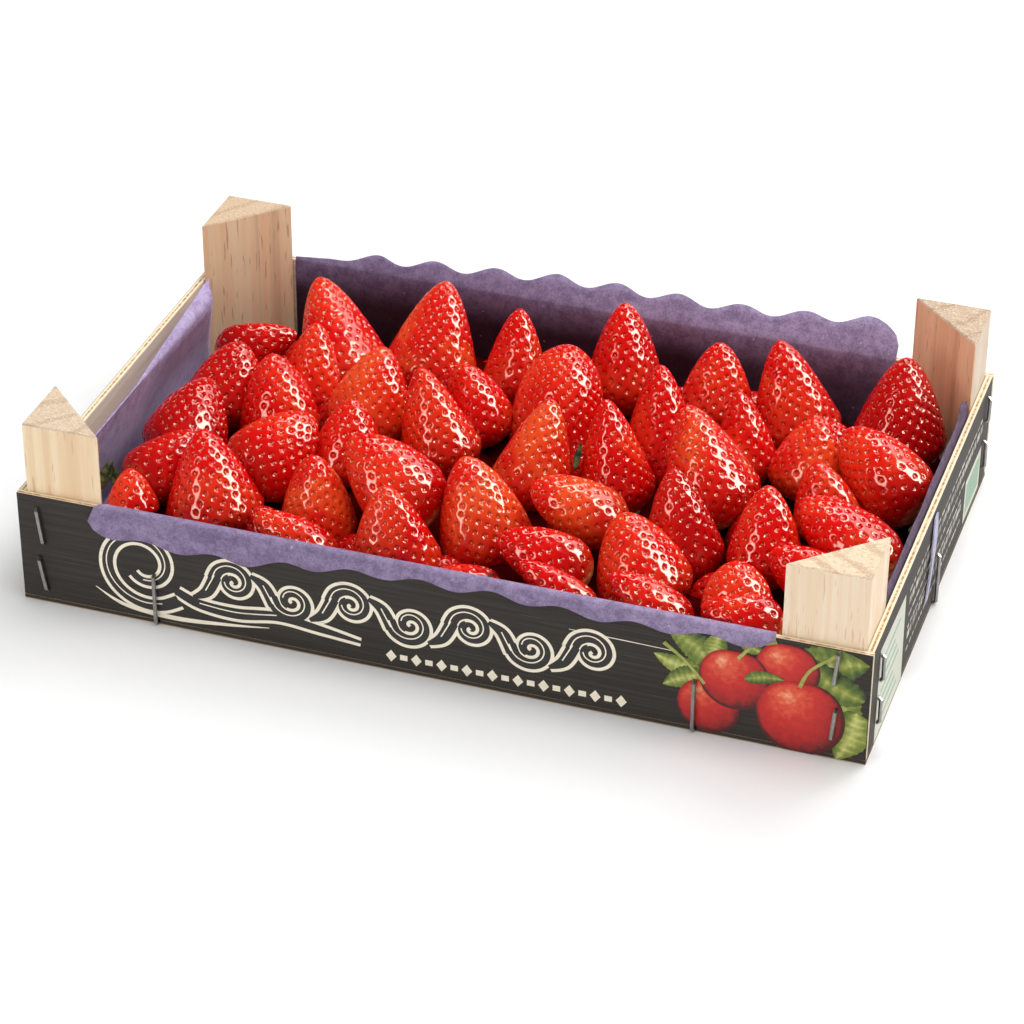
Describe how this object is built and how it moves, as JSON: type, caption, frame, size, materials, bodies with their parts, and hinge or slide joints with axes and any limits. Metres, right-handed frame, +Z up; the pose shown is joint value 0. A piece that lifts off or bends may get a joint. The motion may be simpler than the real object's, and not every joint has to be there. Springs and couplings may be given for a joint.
{
  "type": "crate of strawberries",
  "caption": "Shallow plywood crate with triangular corner posts, wire staples and a scalloped paper liner, heaped with strawberries.",
  "frame": {"origin": "middle of the floor panel's underside, where the crate stands", "axes": "+X along the crate's long side, -Y out of the printed front, +Z up"},
  "size_m": [0.3646, 0.2343, 0.085],
  "materials": {
    "plywood": "raw poplar plywood",
    "printed_plywood": "poplar plywood printed matt black",
    "post_wood": "sawn softwood",
    "staple_wire": "dull galvanised wire",
    "liner_paper": "uncoated lilac paper with fibres",
    "strawberry": "ripe fruit skin, moist gloss"
  },
  "bodies": {
    "root": {"floor_panel": "plywood", "wall_front": "printed_plywood", "wall_back": "printed_plywood", "wall_left": "printed_plywood", "wall_right": "printed_plywood", "post_front_left": "post_wood", "post_front_right": "post_wood", "post_back_left": "post_wood", "post_back_right": "post_wood", "staple_front_1": "staple_wire", "staple_front_2": "staple_wire", "staple_front_3": "staple_wire", "staple_front_4": "staple_wire", "staple_front_5": "staple_wire", "staple_front_6": "staple_wire", "staple_back_1": "staple_wire", "staple_back_2": "staple_wire", "staple_back_3": "staple_wire", "staple_back_4": "staple_wire", "staple_back_5": "staple_wire", "staple_back_6": "staple_wire", "staple_left_1": "staple_wire", "staple_left_2": "staple_wire", "staple_left_3": "staple_wire", "staple_left_4": "staple_wire", "staple_left_5": "staple_wire", "staple_right_1": "staple_wire", "staple_right_2": "staple_wire", "staple_right_3": "staple_wire", "staple_right_4": "staple_wire", "staple_right_5": "staple_wire", "liner": "liner_paper", "paper_strip": "liner_paper", "strawberries": "strawberry"}
  },
  "joints": []
}
